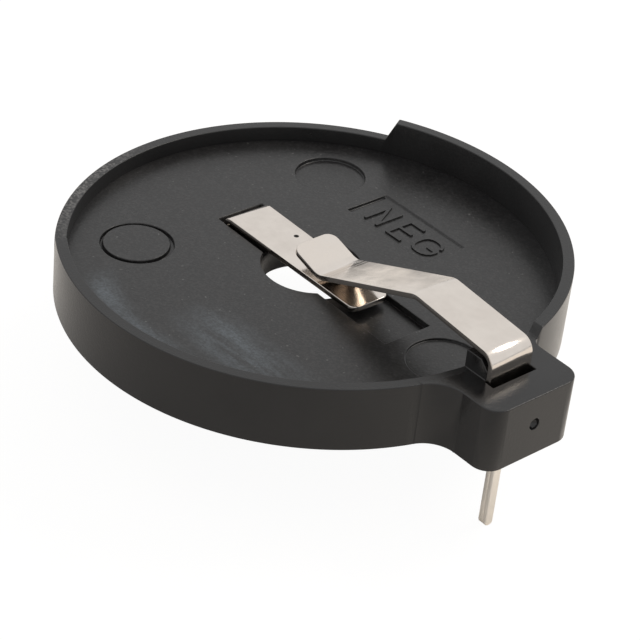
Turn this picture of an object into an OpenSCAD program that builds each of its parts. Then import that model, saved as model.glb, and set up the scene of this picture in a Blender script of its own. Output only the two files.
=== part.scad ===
// Coin cell holder for a circuit board: a round moulded dish with a lug, a
// sprung contact arm over the cell and a flat contact strip under it.
// +Z is up from the board, +X points from the dish's centre to the lug.

/* [Cell pocket] */
// Diameter of the pocket that the coin cell drops into
pocket_d = 20.8; // [19.5:0.1:25]
// Thickness of the wall round the pocket
wall_t = 0.5; // [0.4:0.05:1]
// Thickness of the pocket's floor
floor_t = 1.6; // [1.4:0.05:2.4]
// Height of the front rim and the lug above the floor
front_rim_h = 1.3; // [1.1:0.05:1.8]
// Height of the high rim above the front rim
high_step_h = 0.35; // [0.2:0.05:0.8]
// Drop of the low rim below the front rim
low_step_h = 0.6; // [0.3:0.05:0.9]
// Angle at which the high rim ramps down to the low rim
low_from = 120.5; // [105:0.5:140]
// Angle at which the low rim steps up to the front rim
low_to = 238.4; // [220:0.2:255]
// Width of the ramp between the high rim and the low rim
ramp_w = 0.44; // [0.2:0.02:0.8]

/* [Lug] */
// Width of the lug
lug_w = 4.8; // [4.2:0.1:7]
// Reach of the lug beyond the dish's outer wall
lug_reach = 2.55; // [2.2:0.05:4]
// Radius of the lug's upright corners
lug_corner_r = 0.8; // [0.3:0.05:1.2]
// Radius of the fillet between the lug and the dish on the low rim's side
lug_fillet_r = 1.4; // [0.5:0.1:1.8]
// Radius of the fillet between the lug and the dish on the high rim's side
high_fillet_r = 0.5; // [0.3:0.1:1.4]
// Distance from the lug's side to the foot of the high rim's step
step_offset = 0.4; // [0.3:0.05:1]
// Width of the slope up that step
step_slope_w = 0.1; // [0.05:0.05:0.3]
// Diameter of the dimple in the lug's end face
dimple_d = 0.6; // [0.3:0.05:1]
// Depth of the dimple
dimple_depth = 0.2; // [0.1:0.05:0.4]
// Height of the block that backs the arm's root, above the lug
block_h = 0.8; // [0.5:0.05:1.3]

/* [Floor] */
// Diameter of the hole through the floor
hole_d = 4.34; // [3:0.02:5.6]
// Distance of the hole's centre from the dish's, towards the lug
hole_x = 0.06; // [0:0.02:0.2]
// Distance of the hole's centre from the middle plane, on the low rim's side
hole_y = 0.12; // [0:0.02:0.2]
// Width and height of the chamfer under that hole
hole_chamfer = 0.2; // [0.1:0.05:0.4]
// Depth of the recess under the contact strip
recess_depth = 0.3; // [0.2:0.05:0.6]
// Clearance from the strip's long edges to the recess's walls
recess_side_gap = 0.1; // [0.05:0.05:0.5]
// Clearance from the strip's bent end to the recess's end wall
recess_back_gap = 0.19; // [0.1:0.01:0.5]
// Clearance from the strip's free end to the recess's other end wall
recess_front_gap = 2.33; // [0.5:0.05:2.6]
// Diameter of the ejector marks
ejector_d = 3.175; // [2:0.05:3.6]
// Depth of the front ejector mark
front_ejector_depth = 0.1; // [0.05:0.01:0.2]
// Depth of the rear ejector mark on the high rim's side
rear_ejector_depth = 0.18; // [0.05:0.01:0.25]
// Width of the ring groove round the other rear ejector mark
groove_w = 0.12; // [0.06:0.02:0.3]
// Depth of that groove
groove_depth = 0.14; // [0.05:0.01:0.2]
// Distance of the two rear ejector marks from the centre
ejector_r = 7.5; // [6.6:0.1:7.8]
// Angle of the two rear ejector marks to either side of +X
ejector_angle = 134; // [125:1:150]
// Distance of the front ejector mark from the centre
front_ejector_x = 8.4; // [7.9:0.1:8.7]
// Distance of the front ejector mark from the middle plane
front_ejector_y = 0.15; // [0:0.05:0.4]

/* [Polarity mark] */
// Length of the sunk field round the lettering
mark_l = 5.1; // [4.6:0.1:6]
// Width of the sunk field
mark_w = 2.3; // [2:0.1:2.6]
// Distance of the field's centre from the dish's centre
mark_y = 5.3; // [4.8:0.1:6]
// Depth of the sunk field
mark_depth = 0.1; // [0.05:0.01:0.2]
// Distance of the lettering from the field's centre line
letters_shift = 0.13; // [0:0.01:0.2]
// Height of the letters across the field
letter_h = 1.57; // [1.2:0.05:1.8]
// Width of a letter's strokes
stroke_w = 0.18; // [0.12:0.02:0.26]

/* [Contacts] */
// Thickness of the contact sheet
sheet_t = 0.25; // [0.2:0.01:0.35]
// Width of both contacts
strip_w = 2.2; // [1.6:0.1:2.6]
// Distance from the dish's outer wall to the back of the arm's leg
leg_offset = 0.65; // [0.5:0.05:1]
// Clearance between the block and the corner of the arm's root
root_gap = 0.155; // [0.1:0.005:0.4]
// Middle radius of the bend at the arm's root
root_bend_r = 0.525; // [0.35:0.025:0.65]
// Rise of the arm from its root, in degrees
arm_rise = 4.9; // [2:0.1:8]
// Distance of the arm's knee from the centre
knee_x = 7.22; // [6:0.02:8]
// Middle radius of the knee
knee_r = 0.8; // [0.4:0.1:1.2]
// Distance of the arm's contact point from the centre
contact_x = 1.52; // [1:0.02:2.5]
// Middle radius of the bend at the contact point
contact_r = 1; // [0.5:0.1:1.2]
// Clearance between the arm's contact point and the strip
contact_gap = 0.13; // [0.08:0.01:0.6]
// Length of the turned-up tip beyond the contact point
tip_l = 1.82; // [1.2:0.02:2.2]
// Rise of the turned-up tip, in degrees
tip_rise = 16; // [8:1:22]
// Radius of the tip's corners
tip_corner_r = 0.48; // [0.2:0.02:0.7]
// Distance of the strip's bent end from the centre
strip_back_x = 4.76; // [4.4:0.01:5.2]
// Distance of the strip's free end from the centre
strip_front_x = 3.87; // [3.2:0.01:4.5]
// Middle radius of the strip's bend
strip_bend_r = 0.4; // [0.2:0.05:0.5]
// Radius of the strip's free corners
strip_corner_r = 0.5; // [0.1:0.05:0.7]

/* [Pins] */
// Length of the pins below the board face
pin_l = 4.5; // [2.5:0.1:6]
// Width of the pins
pin_w = 0.4; // [0.3:0.02:0.7]
// Thickness of the folded pins
pin_t = 0.46; // [0.38:0.02:0.6]
// Height of the legs' lower ends above the board face
leg_end_z = 0.3; // [0.1:0.05:0.6]
// Clearance between the pins and the outer walls of their slots
pin_gap = 0.05; // [0.03:0.01:0.2]
// Clearance from a leg's edges to the ends of its slot
slot_end_gap = 0.07; // [0.03:0.01:0.15]

/* [Hidden] */
$fn = 96;
over = 1;             // how far a cut runs past a face
arc_steps = 10;       // flats in each bend
pocket_r = pocket_d / 2;
outer_r = pocket_r + wall_t;
lug_top = floor_t + front_rim_h;
high_top = lug_top + high_step_h;
low_top = lug_top - low_step_h;
lug_end = outer_r + lug_reach;
step_y = lug_w / 2 + step_offset;
leg_back_x = outer_r + leg_offset;
recess_w = strip_w + 2 * recess_side_gap;
recess_from = -strip_back_x - recess_back_gap;
recess_to = strip_front_x + recess_front_gap;
recess_z = floor_t - recess_depth;
slot_w = strip_w + 2 * slot_end_gap;
slot_l = pin_t + pin_gap;

// Centre lines of the two contacts in the XZ plane, from a leg's lower end
arm_leg_x = leg_back_x + sheet_t / 2;
root_z = lug_top + block_h + root_gap + sheet_t / 2;
knee_z = root_z + (arm_leg_x - knee_x) * tan(arm_rise);
contact_z = floor_t + sheet_t + contact_gap + sheet_t / 2;
arm_line = [
    [arm_leg_x, leg_end_z],
    [arm_leg_x, root_z],
    [knee_x, knee_z],
    [contact_x, contact_z],
    [contact_x - tip_l * cos(tip_rise), contact_z + tip_l * sin(tip_rise)]
];
arm_bends = [root_bend_r, knee_r, contact_r];
strip_line = [
    [-strip_back_x + sheet_t / 2, leg_end_z],
    [-strip_back_x + sheet_t / 2, floor_t + sheet_t / 2],
    [strip_front_x, floor_t + sheet_t / 2]
];
strip_bends = [strip_bend_r];

function unit(v) = v / norm(v);
function left(v) = [-v[1], v[0]];
function turn(a, b) = atan2(a[0] * b[1] - a[1] * b[0], a * b);

// Points of one bend, offset to the left of the centre line
function bend(p, q, s, r, offset) =
    let (
        d = unit(q - p),
        angle = turn(d, unit(s - q)),
        side = sign(angle),
        centre = q - d * r * tan(abs(angle) / 2) + left(d) * r * side
    )
    [for (i = [0:arc_steps])
        let (a = angle * i / arc_steps)
        centre - (left(d) * cos(a) - d * sin(a)) * (r * side - offset)];

// One face of a bent sheet, offset to the left of its centre line
function face(line, bends, offset) =
    let (last = len(line) - 1)
    concat(
        [line[0] + left(unit(line[1] - line[0])) * offset],
        [for (i = [1:last - 1])
            each bend(line[i - 1], line[i], line[i + 1], bends[i - 1], offset)],
        [line[last] + left(unit(line[last] - line[last - 1])) * offset]
    );

function reversed(list) = [for (i = [len(list) - 1:-1:0]) list[i]];

// A pie slice between two angles
function slice(from, to, r) = concat(
    [[0, 0]],
    [for (i = [0:4]) r * [cos(from + (to - from) * i / 4), sin(from + (to - from) * i / 4)]]
);

// ---- Housing ----

// Outline of the lug with its round corners, seen from above
module lug_outline() {
    corner_y = lug_w / 2 - lug_corner_r;
    translate([0, -lug_w / 2]) square([lug_end - lug_corner_r, lug_w]);
    translate([0, -corner_y]) square([lug_end, 2 * corner_y]);
    for (side = [-1, 1])
        translate([lug_end - lug_corner_r, side * corner_y]) circle(r = lug_corner_r);
}

// Fillet between the lug's +Y side and the dish, seen from above
module lug_fillet(r) {
    centre_y = lug_w / 2 + r;
    centre_x = sqrt(pow(outer_r + r, 2) - pow(centre_y, 2));
    start = 180 + atan2(centre_y, centre_x);
    polygon(concat(
        [for (i = [0:arc_steps])
            let (a = start + (270 - start) * i / arc_steps)
            [centre_x + r * cos(a), centre_y + r * sin(a)]],
        [[centre_x, 0], [pocket_r, 0]]
    ));
}

// Dish at the front rim's height, with the lug
module dish_and_lug() {
    cylinder(r = outer_r, h = lug_top);
    linear_extrude(lug_top) lug_outline();
    linear_extrude(lug_top) lug_fillet(high_fillet_r);
    linear_extrude(lug_top) mirror([0, 1]) lug_fillet(lug_fillet_r);
}

// High rim, from the sloping step beside the lug round to the ramp
module high_rim() {
    intersection() {
        cylinder(r = outer_r, h = high_top);
        linear_extrude(high_top) polygon(slice(0, low_from + 5, 2 * outer_r));
        translate([-outer_r, 0, 0])
            rotate([90, 0, 90])
                linear_extrude(2 * outer_r)
                    polygon([
                        [step_y - step_slope_w, lug_top - high_step_h],
                        [step_y + step_slope_w, lug_top + high_step_h],
                        [outer_r + over, lug_top + high_step_h],
                        [outer_r + over, lug_top - high_step_h]
                    ]);
    }
}

// Block on the lug that backs the arm's root, chamfered under the root's bend
module root_block() {
    block_top = lug_top + block_h;
    chamfer = root_bend_r - sheet_t / 2;
    translate([0, strip_w / 2, 0])
        rotate([90, 0, 0])
            linear_extrude(strip_w)
                polygon([
                    [pocket_r - wall_t, 0],
                    [leg_back_x, 0],
                    [leg_back_x, block_top - chamfer],
                    [leg_back_x - chamfer, block_top],
                    [pocket_r - wall_t, block_top]
                ]);
}

// Cut that takes the wall down to the low rim, with its ramp
module low_rim_cut() {
    ramp_angle = 2 * asin(ramp_w / 2 / outer_r);
    ramp_rise = high_top - low_top;
    translate([0, 0, low_top])
        linear_extrude(high_top)
            polygon(slice(low_from + 0.75 * ramp_angle, low_to, 2 * outer_r));
    rotate(low_from)
        rotate([90, 0, 90])
            linear_extrude(2 * outer_r)
                polygon([
                    [-ramp_w, high_top + ramp_rise / 2],
                    [ramp_w / 2, low_top],
                    [ramp_w, low_top],
                    [ramp_w, high_top + ramp_rise / 2]
                ]);
}

// Slot for a leg and its pin, on the +X side of the leg's back face
module leg_slot() {
    translate([0, -slot_w / 2, -over])
        cube([slot_l, slot_w, lug_top + 2 * over]);
}

// Stroke of a letter from one point to another
module stroke(from, to) {
    translate(from)
        rotate(atan2(to[1] - from[1], to[0] - from[0]))
            translate([-stroke_w / 2, -stroke_w / 2])
                square([norm(to - from) + stroke_w, stroke_w]);
}

// The letters of the polarity mark
module letters() {
    h = letter_h / 2 - stroke_w / 2;
    n_w = 0.36;
    e_w = 0.4;
    g_r = 0.62;
    translate([-1.3, 0]) {
        stroke([-n_w, -h], [-n_w, h]);
        stroke([-n_w, h], [n_w, -h]);
        stroke([n_w, -h], [n_w, h]);
    }
    translate([0.15, 0]) {
        stroke([-e_w, -h], [-e_w, h]);
        for (y = [-h, 0, h]) stroke([-e_w, y], [e_w, y]);
    }
    translate([1.6, 0]) {
        for (side = [-1, 1]) {
            stroke([-g_r, side * (h - g_r * 0.6)], [-g_r * 0.5, side * h]);
            stroke([-g_r * 0.5, side * h], [g_r * 0.5, side * h]);
        }
        stroke([g_r * 0.5, h], [g_r, h - g_r * 0.4]);
        stroke([g_r * 0.5, -h], [g_r, -h + g_r * 0.4]);
        stroke([-g_r, -h + g_r * 0.6], [-g_r, h - g_r * 0.6]);
        stroke([g_r, -h + g_r * 0.4], [g_r, -0.05]);
        stroke([0.1, -0.05], [g_r, -0.05]);
    }
}

// Shallow marks in the floor: ejector marks and the polarity mark
module floor_marks() {
    rotate(ejector_angle)
        translate([ejector_r, 0, floor_t - rear_ejector_depth])
            cylinder(d = ejector_d, h = rear_ejector_depth + over);
    rotate(-ejector_angle)
        translate([ejector_r, 0, floor_t - groove_depth])
            difference() {
                cylinder(d = ejector_d, h = groove_depth + over);
                translate([0, 0, -over])
                    cylinder(d = ejector_d - 2 * groove_w, h = groove_depth + 3 * over);
            }
    translate([front_ejector_x, -front_ejector_y, floor_t - front_ejector_depth])
        cylinder(d = ejector_d, h = front_ejector_depth + over);
    translate([0, mark_y, floor_t - mark_depth])
        linear_extrude(mark_depth + over)
            difference() {
                square([mark_l, mark_w], center = true);
                translate([0, -letters_shift]) letters();
            }
}

// Hole through the floor, chamfered underneath
module centre_hole() {
    translate([hole_x, -hole_y, -over]) cylinder(d = hole_d, h = floor_t + 2 * over);
    translate([hole_x, -hole_y, -hole_chamfer])
        cylinder(
            r1 = hole_d / 2 + 2 * hole_chamfer,
            r2 = hole_d / 2,
            h = 2 * hole_chamfer
        );
}

module housing() {
    color([0.2, 0.19, 0.2])
        difference() {
            union() {
                dish_and_lug();
                high_rim();
                root_block();
            }
            translate([0, 0, floor_t]) cylinder(r = pocket_r, h = high_top + over);
            low_rim_cut();
            translate([recess_from, -recess_w / 2, recess_z])
                cube([recess_to - recess_from, recess_w, recess_depth + over]);
            centre_hole();
            translate([leg_back_x, 0, 0]) leg_slot();
            translate([-strip_back_x, 0, 0]) leg_slot();
            floor_marks();
            translate([lug_end - dimple_depth, 0, lug_top / 2 + 0.15])
                rotate([0, 90, 0])
                    cylinder(r1 = 0, r2 = dimple_d, h = 2 * dimple_depth);
        }
}

// ---- Contacts ----

// Bent sheet of the contacts' width along a centre line
module bent_sheet(line, bends) {
    translate([0, strip_w / 2, 0])
        rotate([90, 0, 0])
            linear_extrude(strip_w)
                polygon(concat(
                    face(line, bends, sheet_t / 2),
                    reversed(face(line, bends, -sheet_t / 2))
                ));
}

// Outline of a strip from above: round corners at one end, square at the other
module strip_plan(round_x, square_x, corner_r) {
    way = sign(square_x - round_x);
    corner_y = strip_w / 2 - corner_r;
    from = round_x + way * corner_r;
    translate([min(from, square_x), -strip_w / 2]) square([abs(square_x - from), strip_w]);
    translate([min(round_x, square_x), -corner_y]) square([abs(square_x - round_x), 2 * corner_y]);
    for (side = [-1, 1])
        translate([from, side * corner_y]) circle(r = corner_r);
}

// Solder pin, folded double from the leg, on the +X side of its back face
module pin() {
    rotate([90, 0, 90])
        linear_extrude(pin_t) {
            translate([-pin_w / 2, -pin_l + pin_w / 2])
                square([pin_w, pin_l - pin_w / 2 + leg_end_z + pin_w]);
            translate([0, -pin_l + pin_w / 2]) circle(d = pin_w);
        }
}

module positive_contact() {
    tip_x = arm_line[4][0] - sheet_t / 2 * sin(tip_rise);
    color([0.84, 0.82, 0.79]) {
        intersection() {
            bent_sheet(arm_line, arm_bends);
            linear_extrude(knee_z + over) strip_plan(tip_x, leg_back_x + over, tip_corner_r);
        }
        translate([leg_back_x, 0, 0]) pin();
    }
}

module negative_contact() {
    color([0.84, 0.82, 0.79]) {
        intersection() {
            bent_sheet(strip_line, strip_bends);
            linear_extrude(floor_t + over)
                strip_plan(strip_front_x, -strip_back_x - over, strip_corner_r);
        }
        translate([-strip_back_x, 0, 0]) pin();
    }
}

housing();
positive_contact();
negative_contact();
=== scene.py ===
from math import atan2, cos, radians, sin, sqrt, tan

import bmesh
import bpy
from mathutils import Matrix, Vector


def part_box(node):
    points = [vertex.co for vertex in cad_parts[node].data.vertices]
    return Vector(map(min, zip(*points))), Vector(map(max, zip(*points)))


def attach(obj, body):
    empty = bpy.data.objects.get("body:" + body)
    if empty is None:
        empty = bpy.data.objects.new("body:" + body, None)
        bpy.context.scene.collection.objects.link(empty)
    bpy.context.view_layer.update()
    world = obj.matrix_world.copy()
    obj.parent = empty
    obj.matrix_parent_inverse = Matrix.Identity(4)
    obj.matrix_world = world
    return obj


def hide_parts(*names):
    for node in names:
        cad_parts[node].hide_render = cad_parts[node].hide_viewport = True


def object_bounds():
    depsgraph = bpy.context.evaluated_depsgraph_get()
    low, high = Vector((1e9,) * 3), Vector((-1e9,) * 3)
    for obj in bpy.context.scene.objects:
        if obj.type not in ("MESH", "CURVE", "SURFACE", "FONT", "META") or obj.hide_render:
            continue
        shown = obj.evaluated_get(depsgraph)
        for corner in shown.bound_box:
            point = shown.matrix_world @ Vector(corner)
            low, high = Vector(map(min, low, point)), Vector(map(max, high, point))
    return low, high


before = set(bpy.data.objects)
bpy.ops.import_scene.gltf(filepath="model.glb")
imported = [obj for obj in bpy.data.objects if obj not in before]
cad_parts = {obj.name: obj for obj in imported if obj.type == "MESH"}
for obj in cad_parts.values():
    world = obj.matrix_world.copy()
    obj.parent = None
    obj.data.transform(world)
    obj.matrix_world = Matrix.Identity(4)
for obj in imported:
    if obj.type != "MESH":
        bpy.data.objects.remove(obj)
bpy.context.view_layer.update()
scene = bpy.context.scene

mm = 0.001         # the sizes below are in millimetres
mostly = 0.9       # an edge runs along an axis when its direction has this much of it
finestGap = 0.001  # points closer than this become one


def clearSelection():
    if bpy.context.object and bpy.context.object.mode != "OBJECT":
        bpy.ops.object.mode_set(mode="OBJECT")
    bpy.ops.object.select_all(action="DESELECT")


def activate(piece):
    clearSelection()
    piece.select_set(True)
    bpy.context.view_layer.objects.active = piece


def settle(name):
    # the new object's place, turn and size go into its mesh
    piece = bpy.context.object
    piece.name = name
    bpy.ops.object.transform_apply(location=True, rotation=True, scale=True)
    return piece


def addBlock(name, low, high, turn=(0, 0, 0)):
    clearSelection()
    centre = [(a + b) / 2 * mm for a, b in zip(low, high)]
    size = [(b - a) * mm for a, b in zip(low, high)]
    bpy.ops.mesh.primitive_cube_add(size=1, location=centre, rotation=turn, scale=size)
    return settle(name)


def addRound(name, radius, low, high, centre=(0, 0), sides=96, topRadius=None):
    clearSelection()
    place = (centre[0] * mm, centre[1] * mm, (low + high) / 2 * mm)
    top = radius if topRadius is None else topRadius
    bpy.ops.mesh.primitive_cone_add(vertices=sides, radius1=radius * mm, radius2=top * mm,
                                    depth=(high - low) * mm, location=place)
    return settle(name)


def startEdit(piece, kind="EDGE"):
    activate(piece)
    bpy.ops.object.mode_set(mode="EDIT")
    bpy.ops.mesh.select_mode(type=kind)
    bpy.ops.mesh.select_all(action="DESELECT")
    return bmesh.from_edit_mesh(piece.data)


def showPicked(piece):
    bmesh.update_edit_mesh(piece.data)


def endEdit():
    bpy.ops.object.mode_set(mode="OBJECT")


def middleOf(edge):
    a, b = (v.co for v in edge.verts)
    return (a + b) / 2 / mm


def bevelEdges(piece, wanted, width, segments):
    # wanted gets an edge's middle and direction, in millimetres and as a unit vector
    work = startEdit(piece)
    for edge in work.edges:
        a, b = (v.co for v in edge.verts)
        if wanted(middleOf(edge), (b - a).normalized()):
            edge.select_set(True)
    showPicked(piece)
    bpy.ops.mesh.bevel(offset=width * mm, offset_type="OFFSET", segments=segments,
                       affect="EDGES", clamp_overlap=True)
    endEdit()


def sliceOff(piece, place, normal, keepBelow=True):
    # cuts the whole piece by a plane and closes the cut
    startEdit(piece, "FACE")
    bpy.ops.mesh.select_all(action="SELECT")
    bpy.ops.mesh.bisect(plane_co=[v * mm for v in place], plane_no=normal, use_fill=True,
                        clear_outer=keepBelow, clear_inner=not keepBelow)
    endEdit()


def combine(piece, tool, how="DIFFERENCE"):
    activate(piece)
    step = piece.modifiers.new("combine", "BOOLEAN")
    step.operation = how
    step.object = tool
    step.solver = "EXACT"
    bpy.ops.object.modifier_apply(modifier=step.name)
    bpy.data.objects.remove(tool)


def cleanUp(piece, gap):
    # merges doubled points, closes what that opened and joins faces that lie in one plane
    startEdit(piece, "VERT")
    bpy.ops.mesh.select_all(action="SELECT")
    bpy.ops.mesh.remove_doubles(threshold=gap * mm)
    bpy.ops.mesh.fill_holes(sides=0)
    bpy.ops.mesh.dissolve_limited(angle_limit=radians(0.3))
    bpy.ops.mesh.normals_make_consistent(inside=False)
    endEdit()


def roundEdges(piece, width, segments, angle=30, leaveOut=None):
    # rounds all edges sharper than the angle, apart from those whose middle leaveOut picks
    work = startEdit(piece)
    weight = work.edges.layers.float.new("bevel_weight_edge")
    for edge in work.edges:
        if edge.calc_face_angle(0) > radians(angle) and not (leaveOut and leaveOut(middleOf(edge))):
            edge[weight] = 1
    showPicked(piece)
    endEdit()
    step = piece.modifiers.new("edges", "BEVEL")
    step.limit_method = "WEIGHT"
    step.width = width * mm
    step.segments = segments
    step.use_clamp_overlap = False
    bpy.ops.object.modifier_apply(modifier=step.name)


def smoothShading(piece, sharp=50):
    # large flat faces keep their own direction, so they shade flat up to their rounded edges
    startEdit(piece)
    bpy.ops.mesh.edges_select_sharp(sharpness=radians(sharp))
    bpy.ops.mesh.mark_sharp()
    endEdit()
    bpy.ops.object.shade_smooth()
    step = piece.modifiers.new("normals", "WEIGHTED_NORMAL")
    step.mode = "FACE_AREA"
    step.keep_sharp = True
    bpy.ops.object.modifier_apply(modifier=step.name)


# the moulded housing
housing = {
    "wall": 0.5,
    "floorTop": 1.6,
    "frontRim": 2.9,       # the lug stands as high
    "highRim": 3.25,
    "lowRim": 2.3,
    "rampAngle": 120.5,    # where the high rim slopes down to the low one
    "rampWidth": 0.44,
    "stepAngle": 238.4,    # where the low rim steps up to the front one
    "highStep": 0.33,      # from the lug's side to the foot of the high rim's sloping end
    "highSlope": 0.32,
    "lugWidth": 4.8,
    "lugCorner": 0.8,
    "lugCornerSteps": 10,
    "lugFillets": ((-1, 1.4), (1, 0.5)),  # side and radius
    "filletInLug": 0.5,    # how far a fillet's wedge reaches into the lug
    "filletInDish": 0.35,  # and into the dish
    "blockWidth": 2.2,
    "blockBack": 11.55,
    "blockFoot": 2,        # inside the lug
    "blockChamfer": 0.4,
    "hole": 4.34,
    "holePlace": (0.06, -0.12),
    "holeChamfer": 0.2,
    "recessDepth": 0.3,
    "recessSides": (-1.3, 1.12),
    "recessEnds": (-4.95, 6.2),
    "recessTurn": -0.8,    # degrees
    "legSlots": ((11.55, 12.06), (-4.76, -4.25)),
    "slotWidth": 2.34,
    "ejector": 3.175,
    "sunkMarks": ((-5.21, 5.395, 0.18), (8.4, -0.15, 0.1)),  # place and depth
    "ringMark": (-5.21, -5.395),
    "grooveWidth": 0.16,
    "grooveShift": 0.05,   # the groove is wider towards +X
    "grooveDepth": 0.2,
    "dimple": (-0.03, 1.56),  # Y and Z, in the lug's end
    "dimpleWidth": 0.5,
    "dimpleDepth": 0.24,
    "dimpleSides": 48,
    "edge": 0.04,
    "edgeSteps": 2,
    "sides": 288,
    "holeSides": 128,
}

lettering = {
    "fieldLow": (-2.55, 4.15),
    "fieldHigh": (2.55, 6.45),
    "depth": 0.08,
    "edgeDepth": 0.15,     # along the field's left end
    "edgeWidth": 0.12,
    "edgeShort": 0.15,     # from the deeper edge's end to the field's corner
    "base": 5.17,          # Y of the letters' middle
    "height": 1.57,
    "stroke": 0.14,
    "strokeEnd": 0.9,      # how far a stroke passes its corner, as a share of half its width
    "below": 0.01,         # from the floor down to the letters' tops
    "root": 0.1,           # from the field's floor down to the letters' feet
    "lift": 0.0007,        # between two strokes' tops, so that no two lie in one plane
    "nPlace": -1.3,
    "nHalf": 0.36,
    "ePlace": 0.15,
    "eHalf": 0.4,
    "eMiddle": 0.9,        # the middle bar's share of the other two
    "gPlace": 1.6,
    "gHalf": 0.56,
    "gHeight": 1.4,
    "gRound": 0.48,
    "gOpening": 20,        # degrees above the middle at which the bowl starts
    "gBar": (0.1, -0.05),
    "gSteps": 4,
}

# heights and sides of the cutting tools, past the faces that they cut
tools = {
    "foot": -1,
    "cutFrom": -12,
    "cutTo": 14,
    "cutTop": 6,
    "filletTop": 5,
    "rampTop": 6,
    "pocketTop": 7,
    "recessTop": 4,
    "holeTop": 4,
    "slotTop": 6,
    "markTop": 2.2,
    "coreFoot": 1,
    "coreTop": 3,
}

housingLow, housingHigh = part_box("housing")
outerR = -housingLow.x / mm
pocketR = outerR - housing["wall"]
lugEnd = housingHigh.x / mm
blockTop = housingHigh.z / mm
lugTop = housing["frontRim"]
floorTop = housing["floorTop"]


def lowerFrontRim(piece):
    # everything on the lug's side of the high rim's sloping end stands at the lug's height
    foot = housing["lugWidth"] / 2 + housing["highStep"]
    cut = addBlock("cut", (tools["cutFrom"], tools["cutFrom"], lugTop),
                   (tools["cutTo"], foot + 1, tools["cutTop"]))
    sliceOff(cut, (0, foot, lugTop), (0, housing["highRim"] - lugTop, -housing["highSlope"]))
    combine(piece, cut)


def addFillet(side, r):
    # wedge between the lug and the dish, hollowed by a round of the fillet's radius
    y = housing["lugWidth"] / 2 + r
    x = sqrt((outerR + r) ** 2 - y ** 2)
    touch = (x * outerR / (outerR + r), y * outerR / (outerR + r))
    low, high = sorted((side * (y - r - housing["filletInLug"]), side * touch[1]))
    wedge = addBlock("wedge", (touch[0] - housing["filletInDish"], low, 0), (x, high, lugTop))
    combine(wedge, addRound("round", r, tools["foot"], tools["filletTop"], centre=(x, side * y)))
    return wedge


def addLug(piece):
    half = housing["lugWidth"] / 2
    lug = addBlock("lug", (0, -half, 0), (lugEnd, half, lugTop))
    bevelEdges(lug, lambda p, d: abs(d.z) > mostly and p.x > lugEnd / 2,
               housing["lugCorner"], housing["lugCornerSteps"])
    combine(piece, lug, "UNION")
    for side, radius in housing["lugFillets"]:
        combine(piece, addFillet(side, radius), "UNION")


def cutLowRim(piece):
    # a pie slice whose first side is the sloping ramp
    ramp = radians(housing["rampAngle"])
    end = radians(housing["stepAngle"])
    low, high = housing["lowRim"], housing["highRim"]
    along = Vector((-sin(ramp), cos(ramp), 0))
    slope = (along * (high - low) + Vector((0, 0, housing["rampWidth"]))).normalized()
    middle = Vector((cos(ramp), sin(ramp), 0)) * outerR
    middle.z = (high + low) / 2
    pie = addRound("pie", outerR + 2, low, tools["rampTop"], sides=32)
    sliceOff(pie, middle, slope, keepBelow=False)
    sliceOff(pie, (0, 0, 0), (-sin(end), cos(end), 0))
    combine(piece, pie)


def addRootBlock(piece):
    # the block under the arm's root, which the pocket then trims
    half = housing["blockWidth"] / 2
    back = housing["blockBack"]
    block = addBlock("block", (outerR - 1, -half, housing["blockFoot"]), (back, half, blockTop))
    bevelEdges(block, lambda p, d: abs(d.y) > mostly and p.x > back - 0.1 and p.z > lugTop,
               housing["blockChamfer"], 1)
    combine(piece, block, "UNION")


def cutFloor(piece):
    combine(piece, addRound("pocket", pocketR, floorTop, tools["pocketTop"], sides=housing["sides"]))

    ends, sides = housing["recessEnds"], housing["recessSides"]
    recessFloor = floorTop - housing["recessDepth"]
    combine(piece, addBlock("recess", (ends[0], sides[0], recessFloor),
                            (ends[1], sides[1], tools["recessTop"]),
                            turn=(0, 0, radians(housing["recessTurn"]))))

    holeR, chamfer = housing["hole"] / 2, housing["holeChamfer"]
    spot, count = housing["holePlace"], housing["holeSides"]
    combine(piece, addRound("hole", holeR, tools["foot"], tools["holeTop"], centre=spot, sides=count))
    combine(piece, addRound("countersink", holeR + 2 * chamfer, -chamfer, chamfer, centre=spot,
                            sides=count, topRadius=holeR))

    wide = housing["slotWidth"] / 2
    for a, b in housing["legSlots"]:
        combine(piece, addBlock("slot", (a, -wide, tools["foot"]), (b, wide, tools["slotTop"])))


def cutMarks(piece):
    # two sunk ejector marks, and one that stands in a ring groove
    markR = housing["ejector"] / 2
    for x, y, depth in housing["sunkMarks"]:
        combine(piece, addRound("mark", markR, floorTop - depth, tools["markTop"], centre=(x, y)))
    x, y = housing["ringMark"]
    groove = addRound("groove", markR, floorTop - housing["grooveDepth"], tools["markTop"],
                      centre=(x, y))
    combine(groove, addRound("core", markR - housing["grooveWidth"], tools["coreFoot"],
                             tools["coreTop"], centre=(x - housing["grooveShift"], y)))
    combine(piece, groove)


def cutLetterField(piece):
    x, y = lettering["fieldLow"]
    right, top = lettering["fieldHigh"]
    combine(piece, addBlock("field", (x, y, floorTop - lettering["depth"]),
                            (right, top, tools["markTop"])))
    combine(piece, addBlock("field_end", (x - 0.01, y, floorTop - lettering["edgeDepth"]),
                            (x + lettering["edgeWidth"], top - lettering["edgeShort"],
                             tools["markTop"])))


def cutDimple(piece):
    # a ball pressed into the lug's end
    deep, wide = housing["dimpleDepth"], housing["dimpleWidth"] / 2
    ballR = (wide ** 2 + deep ** 2) / (2 * deep)
    y, z = housing["dimple"]
    clearSelection()
    count = housing["dimpleSides"]
    bpy.ops.mesh.primitive_uv_sphere_add(segments=count, ring_count=count // 2, radius=ballR * mm,
                                         location=((lugEnd + ballR - deep) * mm, y * mm, z * mm))
    combine(piece, settle("dimple"))


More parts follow.
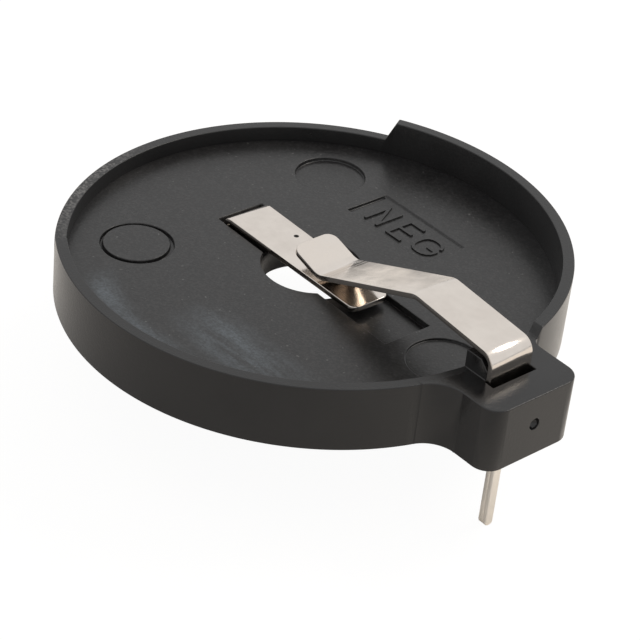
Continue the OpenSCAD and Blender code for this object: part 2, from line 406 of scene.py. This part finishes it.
def letterPaths():
    # the middle lines of the strokes, across and up from the letters' base
    half = lettering["height"] / 2 - lettering["stroke"] / 2
    n, nx = lettering["nHalf"], lettering["nPlace"]
    e, ex = lettering["eHalf"], lettering["ePlace"]
    g, gx = lettering["gHalf"], lettering["gPlace"]
    r = lettering["gRound"]
    tall = lettering["gHeight"] / 2 - lettering["stroke"] / 2
    paths = [[(nx - n, -half), (nx - n, half), (nx + n, -half), (nx + n, half)],
             [(ex + e, -half), (ex - e, -half), (ex - e, half), (ex + e, half)],
             [(ex - e, 0), (ex + e * lettering["eMiddle"], 0)]]
    bowl = []
    for start, end in ((lettering["gOpening"], 90), (90, 180), (180, 270), (270, 360)):
        across = -1 if 90 <= start < 270 else 1
        side = 1 if start < 180 else -1
        for i in range(lettering["gSteps"] + 1):
            a = radians(start + (end - start) * i / lettering["gSteps"])
            bowl.append((gx + across * (g - r) + r * cos(a), side * (tall - r) + r * sin(a)))
    barEnd, barY = lettering["gBar"]
    bowl += [(gx + g, barY), (gx + barEnd, barY)]
    return paths + [bowl]


def addLetters():
    half = lettering["stroke"] / 2
    top = floorTop - lettering["below"]
    foot = floorTop - lettering["depth"] - lettering["root"]
    strokes = []
    for path in letterPaths():
        for (ax, ay), (bx, by) in zip(path, path[1:]):
            reach = sqrt((bx - ax) ** 2 + (by - ay) ** 2) / 2 + half * lettering["strokeEnd"]
            height = top - lettering["lift"] * len(strokes)
            bar = addBlock("stroke", (-reach, -half, foot), (reach, half, height))
            bar.rotation_euler.z = atan2(by - ay, bx - ax)
            bar.location = ((ax + bx) / 2 * mm, ((ay + by) / 2 + lettering["base"]) * mm, 0)
            activate(bar)
            strokes.append(settle("stroke"))
    for bar in strokes[1:]:
        combine(strokes[0], bar, "UNION")
    return strokes[0]


def makeHousing():
    piece = addRound("moulded_dish", outerR, 0, housing["highRim"], sides=housing["sides"])
    lowerFrontRim(piece)
    addLug(piece)
    cutLowRim(piece)
    addRootBlock(piece)
    cutFloor(piece)
    cutMarks(piece)
    cutLetterField(piece)
    cutDimple(piece)
    cleanUp(piece, finestGap)
    # the line where the wall meets the floor stays sharp
    roundEdges(piece, housing["edge"], housing["edgeSteps"],
               leaveOut=lambda p: abs(p.z - floorTop) < 0.01 and p.xy.length > pocketR - 0.1)
    combine(piece, addLetters(), "UNION")
    cleanUp(piece, finestGap / 2)
    smoothShading(piece)
    print("housing modelled:", len(piece.data.polygons), "faces")
    return piece


# the two contacts, each bent from one sheet
contacts = {
    "sheet": 0.25,
    "width": 2.2,
    "armCorners": ((11.675, 0.3), (11.675, 3.98), (7.22, 4.362), (1.52, 2.105), (-0.23, 2.607)),
    "armBends": (0.525, 0.8, 1.0),
    "armTip": 0.48,
    "stripCorners": ((-4.635, 0.3), (-4.635, 1.725), (3.87, 1.725)),
    "stripBends": (0.4,),
    "stripTip": 0.36,
    "stripTaper": 0.91,    # width at the strip's free end, as a share of the whole
    "stripTurn": -0.7,     # degrees about its leg
    "bendStep": 6,         # degrees
    "tipSteps": 6,
    "edge": 0.03,
    "edgeSteps": 2,
    "pinBacks": (11.55, -4.76),
    "pinWidth": 0.4,
    "pinLeaf": 0.235,      # thickness of each of the folded pin's two leaves
    "pinGap": 0.005,       # from the slot's wall to the first leaf
    "leafOverlap": 0.015,
    "leafStagger": 0.1,    # the second leaf's upper end is this much lower
    "pinLow": -4.5,
    "pinHigh": 0.66,
    "pinEdge": 0.045,
    "pinTip": 0.16,
    "pinTipSteps": 8,
    "punch": (-1.73, 0.49),  # small three-sided mark in the strip
    "punchSize": 0.07,
    "punchDepth": 0.12,
    "punchFlare": 3,       # its upper radius over its lower one
}

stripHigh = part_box("negative_contact")[1]


def addPin(back):
    # two leaves of sheet side by side, with a fine seam where their round edges meet
    wide = contacts["pinWidth"] / 2
    leaf = contacts["pinLeaf"]
    leaves = []
    for i in range(2):
        near = back + contacts["pinGap"] + i * (leaf - contacts["leafOverlap"])
        half = addBlock("leaf", (near, -wide, contacts["pinLow"]),
                        (near + leaf, wide, contacts["pinHigh"] - contacts["leafStagger"] * i))
        bevelEdges(half, lambda p, d: abs(d.x) > mostly and p.z < 0,
                   contacts["pinTip"], contacts["pinTipSteps"])
        roundEdges(half, contacts["pinEdge"], contacts["edgeSteps"])
        leaves.append(half)
    combine(leaves[0], leaves[1], "UNION")
    return leaves[0]


def layBlank(start, end):
    # a flat blank of the sheet's first stretch, with its far edge picked
    half = contacts["width"] / 2 * mm
    clearSelection()
    bpy.ops.mesh.primitive_plane_add(size=1)
    piece = bpy.context.object
    work = startEdit(piece)
    for vert in work.verts:
        across = half if vert.co.y > 0 else -half
        vert.co = (end if vert.co.x > 0 else start) + Vector((0, across, 0))
    along = (end - start).normalized()
    for edge in work.edges:
        if all((v.co - end).dot(along) > -1e-7 for v in edge.verts):
            edge.select_set(True)
    showPicked(piece)
    return piece


def bendSheet(name, corners, bends, tip, taper):
    # the blank's edge is spun round each bend and extruded to the next, along the line of corners
    points = [Vector((x * mm, 0, z * mm)) for x, z in corners]
    ways = [(b - a).normalized() for a, b in zip(points, points[1:])]
    angles = [a.angle(b) for a, b in zip(ways, ways[1:])]
    cuts = [radius * mm * tan(angle / 2) for radius, angle in zip(bends, angles)]
    piece = layBlank(points[0], points[1] - ways[0] * cuts[0])
    for i, radius in enumerate(bends):
        before, after, corner = ways[i], ways[i + 1], points[i + 1]
        side = 1 if before.x * after.z - before.z * after.x > 0 else -1
        across = Vector((-before.z, 0, before.x)) * side
        centre = corner - before * cuts[i] + across * radius * mm
        steps = max(4, round(angles[i] / radians(contacts["bendStep"])))
        bpy.ops.mesh.spin(steps=steps, angle=angles[i] * side, center=centre,
                          axis=(0, 1, 0), dupli=False, use_auto_merge=False)
        stop = points[i + 2]
        if i + 1 < len(bends):
            stop = stop - after * cuts[i + 1]
        start = corner + after * cuts[i]
        bpy.ops.mesh.extrude_region_move(TRANSFORM_OT_translate={"value": stop - start})
    bpy.ops.transform.resize(value=(1, taper, 1))
    bpy.ops.mesh.select_mode(type="VERT")
    bpy.ops.mesh.bevel(offset=tip * mm, segments=contacts["tipSteps"], affect="VERTICES",
                       clamp_overlap=False)
    endEdit()
    piece.name = name
    return piece


def turnAboutLeg(piece, name, leg, turn):
    angle = radians(turn)
    activate(piece)
    piece.rotation_euler.z = angle
    piece.location = (leg - leg * cos(angle), -leg * sin(angle), 0)
    settle(name)


def thicken(piece):
    activate(piece)
    wall = piece.modifiers.new("sheet", "SOLIDIFY")
    wall.thickness = contacts["sheet"] * mm
    wall.offset = 0
    wall.use_even_offset = True
    bpy.ops.object.modifier_apply(modifier=wall.name)
    startEdit(piece, "VERT")
    bpy.ops.mesh.select_all(action="SELECT")
    bpy.ops.mesh.normals_make_consistent(inside=False)
    endEdit()


def cutPunch(piece):
    top, low = stripHigh.z / mm, contacts["punchSize"] / 2
    combine(piece, addRound("punch", low, top - contacts["punchDepth"], top + contacts["punchDepth"],
                            centre=contacts["punch"], sides=3, topRadius=low * contacts["punchFlare"]))


def makeContact(name, corners, bends, tip, pinBack, taper=1, turn=0, punched=False):
    piece = bendSheet(name, corners, bends, tip, taper)
    turnAboutLeg(piece, name, corners[0][0] * mm, turn)
    thicken(piece)
    roundEdges(piece, contacts["edge"], contacts["edgeSteps"], angle=40)
    combine(piece, addPin(pinBack), "UNION")
    if punched:
        cutPunch(piece)
    smoothShading(piece)
    print(name, "modelled:", len(piece.data.polygons), "faces")
    return piece


dish = makeHousing()
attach(dish, "root")
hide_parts("housing")

arm = makeContact("sprung_arm", contacts["armCorners"], contacts["armBends"],
                  contacts["armTip"], contacts["pinBacks"][0])
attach(arm, "root")
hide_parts("positive_contact")

strip = makeContact("floor_strip", contacts["stripCorners"], contacts["stripBends"],
                    contacts["stripTip"], contacts["pinBacks"][1],
                    taper=contacts["stripTaper"], turn=contacts["stripTurn"], punched=True)
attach(strip, "root")
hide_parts("negative_contact")


noiseSpan = (0.3, 0.7)     # most of a noise's values lie in it


def newMaterial(name):
    material = bpy.data.materials.new(name)
    material.use_nodes = True
    return material, material.node_tree, material.node_tree.nodes["Principled BSDF"]


def splitPlace(tree, place):
    split = tree.nodes.new("ShaderNodeSeparateXYZ")
    tree.links.new(place, split.inputs["Vector"])
    return [split.outputs[axis] for axis in "XYZ"]


def addMapping(tree, place, stretch):
    mapping = tree.nodes.new("ShaderNodeMapping")
    mapping.inputs["Scale"].default_value = stretch
    tree.links.new(place, mapping.inputs["Vector"])
    return mapping.outputs["Vector"]


def addNoise(tree, place, scale, detail=2, roughness=0.5, stretch=(1, 1, 1)):
    noise = tree.nodes.new("ShaderNodeTexNoise")
    noise.inputs["Scale"].default_value = scale
    noise.inputs["Detail"].default_value = detail
    noise.inputs["Roughness"].default_value = roughness
    tree.links.new(addMapping(tree, place, stretch), noise.inputs["Vector"])
    return noise.outputs["Fac"]


def remap(tree, value, source, target=(0, 1), unit=1):
    # source and target are pairs, and unit turns the source's numbers into the value's own
    step = tree.nodes.new("ShaderNodeMapRange")
    step.clamp = True
    numbers = (source[0] * unit, source[1] * unit, *target)
    for socket, number in zip(("From Min", "From Max", "To Min", "To Max"), numbers):
        step.inputs[socket].default_value = number
    tree.links.new(value, step.inputs["Value"])
    return step.outputs["Result"]


def calculate(tree, how, *values):
    step = tree.nodes.new("ShaderNodeMath")
    step.operation = how
    for socket, value in zip(step.inputs, values):
        if isinstance(value, (int, float)):
            socket.default_value = value
        else:
            tree.links.new(value, socket)
    return step.outputs["Value"]


def multiply(tree, first, *others):
    for other in others:
        first = calculate(tree, "MULTIPLY", first, other)
    return first


def addBand(tree, value, start, full, fading, end):
    # rises from start to full and falls from fading to end, all in millimetres
    rising = remap(tree, value, (start, full), unit=mm)
    falling = remap(tree, value, (fading, end), (1, 0), unit=mm)
    return multiply(tree, rising, falling)


def mixColours(tree, share, a, b):
    step = tree.nodes.new("ShaderNodeMix")
    step.data_type = "RGBA"
    tree.links.new(share, step.inputs["Factor"])
    for socket, colour in zip((step.inputs[6], step.inputs[7]), (a, b)):
        if isinstance(colour, tuple):
            socket.default_value = colour
        else:
            tree.links.new(colour, socket)
    return step.outputs[2]


def addBump(tree, height, depth, strength, before=None):
    step = tree.nodes.new("ShaderNodeBump")
    step.inputs["Distance"].default_value = depth * mm
    step.inputs["Strength"].default_value = strength
    tree.links.new(height, step.inputs["Height"])
    if before:
        tree.links.new(before, step.inputs["Normal"])
    return step.outputs["Normal"]


# sizes in millimetres, noise scales in cells for each metre
plastic = {
    "dark": (0.006, 0.0057, 0.0058, 1),
    "light": (0.0095, 0.009, 0.009, 1),
    "patchScale": 420,
    "patchBump": (0.02, 0.1),          # depth and strength
    "grainScale": 9000,
    "grainBump": (0.012, 0.6),
    "gritColour": (0.024, 0.023, 0.023, 1),
    "gritSpan": (0.45, 0.68),          # the noise's values between which grit grows
    "speckColour": (0.07, 0.068, 0.066, 1),
    "speckScale": 5200,
    "speckSpan": (0.73, 0.79),
    "insideDish": (10.3, 10.38),       # distance from the axis at which grit and specks end
    "wornColour": (0.12, 0.115, 0.11, 1),
    "wornScale": 8500,
    "wornSpan": (0.44, 0.62),
    "wornRim": (10.4, 10.45, 10.84, 10.88),
    "wornX": (-4.5, -9),
    "wornY": (-10, -8.5, -4, -0.5),
    "hazeColour": (0.075, 0.088, 0.1, 1),
    "hazeOver": (1.2, 1.4),            # height, so that the underside has none
    "streakScale": 1500,
    "streakStretch": (0.2, 1, 1),
    "streakSpan": (0.36, 0.62),
    "streakLeast": 0.15,
    "mottleSpan": (0.35, 0.6),
    "mottleLeast": 0.45,
    "wallHaze": (8.3, 9, 9.4, 9.9),    # distance from the axis
    "wallHazeX": (-4.6, -3.2, 1.5, 3),
    "wallHazeY": (-11, -10, -5, -3),
    "floorHazeX": (-0.5, 2, 4.5, 7.5),
    "floorHazeY": (-8.2, -7.2, -6.3, -5),
    "roughness": (0.27, 0.35),
    "outerWall": (10.7, 10.88),
    "outerPolish": -0.14,
    "ior": 1.5,
}


def distanceFromAxis(tree, place):
    reach = tree.nodes.new("ShaderNodeVectorMath")
    reach.operation = "LENGTH"
    tree.links.new(addMapping(tree, place, (1, 1, 0)), reach.inputs[0])
    return reach.outputs["Value"]


def wornRim(tree, place, x, y, away):
    # scuffed grain on the rim's top, at the left of the dish
    coarse = addNoise(tree, place, plastic["wornScale"], detail=3)
    return multiply(tree, remap(tree, coarse, plastic["wornSpan"]),
                    remap(tree, x, plastic["wornX"], unit=mm),
                    addBand(tree, y, *plastic["wornY"]),
                    addBand(tree, away, *plastic["wornRim"]))


def paleHaze(tree, place, grain, away):
    # rubbed streaks along the front wall's foot and a little further in
    x, y, z = splitPlace(tree, place)
    streaks = addNoise(tree, place, plastic["streakScale"], detail=6, roughness=0.75,
                       stretch=plastic["streakStretch"])
    besideWall = multiply(tree, addBand(tree, away, *plastic["wallHaze"]),
                          addBand(tree, x, *plastic["wallHazeX"]),
                          addBand(tree, y, *plastic["wallHazeY"]))
    furtherIn = multiply(tree, addBand(tree, x, *plastic["floorHazeX"]),
                         addBand(tree, y, *plastic["floorHazeY"]))
    return multiply(tree, calculate(tree, "MAXIMUM", besideWall, furtherIn),
                    remap(tree, z, plastic["hazeOver"], unit=mm),
                    remap(tree, streaks, plastic["streakSpan"], (plastic["streakLeast"], 1)),
                    remap(tree, grain, plastic["mottleSpan"], (plastic["mottleLeast"], 1)))


def blackPlastic():
    material, tree, shader = newMaterial("blackPlastic")
    place = tree.nodes.new("ShaderNodeTexCoord").outputs["Object"]
    x, y, z = splitPlace(tree, place)
    away = distanceFromAxis(tree, place)
    grain = addNoise(tree, place, plastic["grainScale"], detail=3, roughness=0.6)
    patches = addNoise(tree, place, plastic["patchScale"], detail=4, roughness=0.6)
    dots = addNoise(tree, place, plastic["speckScale"], detail=1)
    inside = remap(tree, away, plastic["insideDish"], (1, 0), unit=mm)

    tone = mixColours(tree, remap(tree, patches, noiseSpan), plastic["dark"], plastic["light"])
    layers = (
        (multiply(tree, remap(tree, grain, plastic["gritSpan"]), inside), "gritColour"),
        (multiply(tree, remap(tree, dots, plastic["speckSpan"]), inside), "speckColour"),
        (wornRim(tree, place, x, y, away), "wornColour"),
        (paleHaze(tree, place, grain, away), "hazeColour"),
    )
    for share, colour in layers:
        tone = mixColours(tree, share, tone, plastic[colour])
    tree.links.new(tone, shader.inputs["Base Color"])

    uneven = remap(tree, patches, noiseSpan, plastic["roughness"])
    outside = remap(tree, away, plastic["outerWall"], (0, plastic["outerPolish"]), unit=mm)
    tree.links.new(calculate(tree, "ADD", uneven, outside), shader.inputs["Roughness"])
    normal = addBump(tree, patches, *plastic["patchBump"])
    normal = addBump(tree, grain, *plastic["grainBump"], before=normal)
    tree.links.new(normal, shader.inputs["Normal"])
    shader.inputs["IOR"].default_value = plastic["ior"]
    return material


# the contacts' plated sheet, in the same units
nickel = {
    "bright": (0.79, 0.73, 0.67, 1),
    "dull": (0.71, 0.65, 0.595, 1),
    "dullScale": 700,
    "dullSpan": (0.35, 0.7),
    "roughness": (0.1, 0.24),
    "waveScale": 330,
    "waveStretch": (1, 0.7, 1),
    "waveBump": (0.07, 0.25),          # depth and strength
    "rollScale": 2600,
    "rollStretch": (0.06, 1, 0.06),    # fine lines along the sheet
    "rollBump": (0.01, 0.25),
    # two thin dark lines on the arm are painted shade of creases beside its contact bend
    "creaseShade": (0.12, 0.1, 0.08, 1),
    "creases": (1.95, 2.15),           # X, beside the arm's contact bend
    "creaseWander": 0.12,
    "creaseWidth": (0.03, 0.06),
    "creaseShare": 0.95,
    "creaseFrom": (0.1, 0.5),          # Y, so that they fade towards the near side
    "creaseLeast": 0.15,
    "overStrip": (1.92, 1.95),         # height, so that the strip has none
    # the dark round the punched mark is painted shade of its small hollow
    "punchShade": (0.03, 0.028, 0.025, 1),
    "punchEdge": (0.1, 0.13),
    # the pins' lighter tone is painted light: the same sheet made brighter for the lit table it
    # reflects
    "pinLitTone": (0.95, 0.9, 0.83, 1),
    "pinTop": (0.1, -0.1),             # height
    "pinRoughness": 0.3,               # added to the sheet's
}


# dark lines painted across the arm's far half: painted shade where creases in the sheet fall dark
def addCreaseShade(tree, tone, x, y, z, dulling):
    wander = multiply(tree, dulling, nickel["creaseWander"] * mm)
    along = calculate(tree, "SUBTRACT", x, wander)
    shown = multiply(tree, remap(tree, z, nickel["overStrip"], unit=mm),
                     remap(tree, y, nickel["creaseFrom"], (nickel["creaseLeast"], 1), unit=mm))
    for crease in nickel["creases"]:
        gap = calculate(tree, "ABSOLUTE", calculate(tree, "SUBTRACT", along, crease * mm))
        line = remap(tree, gap, nickel["creaseWidth"], (nickel["creaseShare"], 0), unit=mm)
        tone = mixColours(tree, multiply(tree, line, shown), tone, nickel["creaseShade"])
    return tone


# the sheet round the punched mark is painted dark: painted shade in the little hollow
def paintPunchShade(tree, tone, place):
    gap = tree.nodes.new("ShaderNodeVectorMath")
    gap.operation = "DISTANCE"
    tree.links.new(place, gap.inputs[0])
    gap.inputs[1].default_value = (*[v * mm for v in contacts["punch"]], stripHigh.z)
    near = remap(tree, gap.outputs["Value"], nickel["punchEdge"], (1, 0), unit=mm)
    return mixColours(tree, near, tone, nickel["punchShade"])


def brightNickel():
    material, tree, shader = newMaterial("brightNickel")
    place = tree.nodes.new("ShaderNodeTexCoord").outputs["Object"]
    x, y, z = splitPlace(tree, place)
    rolling = addNoise(tree, place, nickel["rollScale"], stretch=nickel["rollStretch"])
    waves = addNoise(tree, place, nickel["waveScale"], detail=1, stretch=nickel["waveStretch"])
    dulling = addNoise(tree, place, nickel["dullScale"], detail=4, roughness=0.6)
    onPin = remap(tree, z, nickel["pinTop"], unit=mm)

    tone = mixColours(tree, remap(tree, dulling, nickel["dullSpan"]), nickel["bright"], nickel["dull"])
    tone = addCreaseShade(tree, tone, x, y, z, dulling)
    # the pins are painted lighter than the sheet above them, a painted highlight
    tone = mixColours(tree, onPin, tone, nickel["pinLitTone"])
    tone = paintPunchShade(tree, tone, place)
    tree.links.new(tone, shader.inputs["Base Color"])

    sheetRoughness = remap(tree, dulling, noiseSpan, nickel["roughness"])
    more = multiply(tree, onPin, nickel["pinRoughness"])
    tree.links.new(calculate(tree, "ADD", sheetRoughness, more), shader.inputs["Roughness"])
    normal = addBump(tree, waves, *nickel["waveBump"])
    normal = addBump(tree, rolling, *nickel["rollBump"], before=normal)
    tree.links.new(normal, shader.inputs["Normal"])
    shader.inputs["Metallic"].default_value = 1
    return material


dish.data.materials.append(blackPlastic())
plated = brightNickel()
for piece in (arm, strip):
    piece.data.materials.append(plated)
print("materials made: black plastic and bright nickel")


view = {
    "place": (58.068, -54.750, 52.372),  # mm
    "turn": 46.28,         # degrees
    "tilt": 33.90,
    "roll": 6.36,
    "lens": 125.56,
    "sensor": 36,
}

table = {
    "size": 3,             # metres
    # the table is painted darker at the front than behind: painted shade in front and painted light
    # behind
    "front": (0.6, 0.575, 0.55, 1),
    "back": (0.9, 0.85, 0.79, 1),
    "fade": (-16, 6),      # Y in mm from the front colour to the back one
    "roughness": 0.9,
    "glow": 1.07,          # the white that the camera sees
    "glowShare": 0.88,     # the rest shows the object's shadow
}

softbox = {
    "place": (0.063, 0.294, 0.399),
    "size": 0.2,
    "power": 0.7,
    "colour": (1, 0.94, 0.86),
}

room = {
    "level": 0.86,
    "gapLevel": 0.3,
    "gapLow": 0.03,        # heights as the sine of the elevation
    "gapMiddle": 0.075,
    "gapHigh": 0.12,
}


def addCamera():
    clearSelection()
    bpy.ops.object.camera_add(location=[v * mm for v in view["place"]])
    camera = bpy.context.object
    aim = (Matrix.Rotation(radians(view["turn"]), 3, "Z")
           @ Matrix.Rotation(radians(90 - view["tilt"]), 3, "X")
           @ Matrix.Rotation(radians(view["roll"]), 3, "Z"))
    camera.rotation_euler = aim.to_euler()
    camera.data.lens = view["lens"]
    camera.data.sensor_width = view["sensor"]
    camera.data.clip_start = mm
    bpy.context.scene.camera = camera


def paleTable():
    # the camera sees a white glow with a share of the shaded table, everything else the table
    material, tree, shader = newMaterial("paleTable")
    place = tree.nodes.new("ShaderNodeTexCoord").outputs["Object"]
    # painted shade at the front fading into painted light behind, which the walls show in their
    # reflections
    litBehind = remap(tree, splitPlace(tree, place)[1], table["fade"], unit=mm)
    tone = mixColours(tree, litBehind, table["front"], table["back"])
    tree.links.new(tone, shader.inputs["Base Color"])
    shader.inputs["Roughness"].default_value = table["roughness"]
    glow = tree.nodes.new("ShaderNodeEmission")
    glow.inputs["Strength"].default_value = table["glow"]
    path = tree.nodes.new("ShaderNodeLightPath")
    mixer = tree.nodes.new("ShaderNodeMixShader")
    seen = multiply(tree, path.outputs["Is Camera Ray"], table["glowShare"])
    tree.links.new(seen, mixer.inputs["Fac"])
    tree.links.new(shader.outputs["BSDF"], mixer.inputs[1])
    tree.links.new(glow.outputs["Emission"], mixer.inputs[2])
    tree.links.new(mixer.outputs["Shader"], tree.nodes["Material Output"].inputs["Surface"])
    return material


def addFloor():
    clearSelection()
    bpy.ops.mesh.primitive_plane_add(size=table["size"], location=(0, 0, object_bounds()[0][2]))
    floor = settle("table")
    floor.data.materials.append(paleTable())


def addSoftbox():
    clearSelection()
    bpy.ops.object.light_add(type="AREA", location=softbox["place"])
    lamp = bpy.context.object
    lamp.name = "backSoftbox"
    lamp.data.shape = "DISK"
    lamp.data.size = softbox["size"]
    lamp.data.energy = softbox["power"]
    lamp.data.color = softbox["colour"]
    lamp.rotation_euler = (-Vector(softbox["place"])).to_track_quat("-Z", "Y").to_euler()


def addRoom():
    # an even white room with a narrow dim gap just over the table's horizon
    world = bpy.data.worlds.new("studio")
    world.use_nodes = True
    scene.world = world
    tree = world.node_tree
    height = splitPlace(tree, tree.nodes.new("ShaderNodeTexCoord").outputs["Generated"])[2]
    light, dim = room["level"], room["gapLevel"]
    under = remap(tree, height, (room["gapLow"], room["gapMiddle"]), (light, dim))
    over = remap(tree, height, (room["gapMiddle"], room["gapHigh"]), (dim, light))
    back = tree.nodes["Background"]
    back.inputs["Color"].default_value = (1, 1, 1, 1)
    tree.links.new(calculate(tree, "MAXIMUM", under, over), back.inputs["Strength"])


addCamera()
addFloor()
addSoftbox()
addRoom()
scene.view_settings.view_transform = "Standard"
print("camera, floor, lamp and room placed")
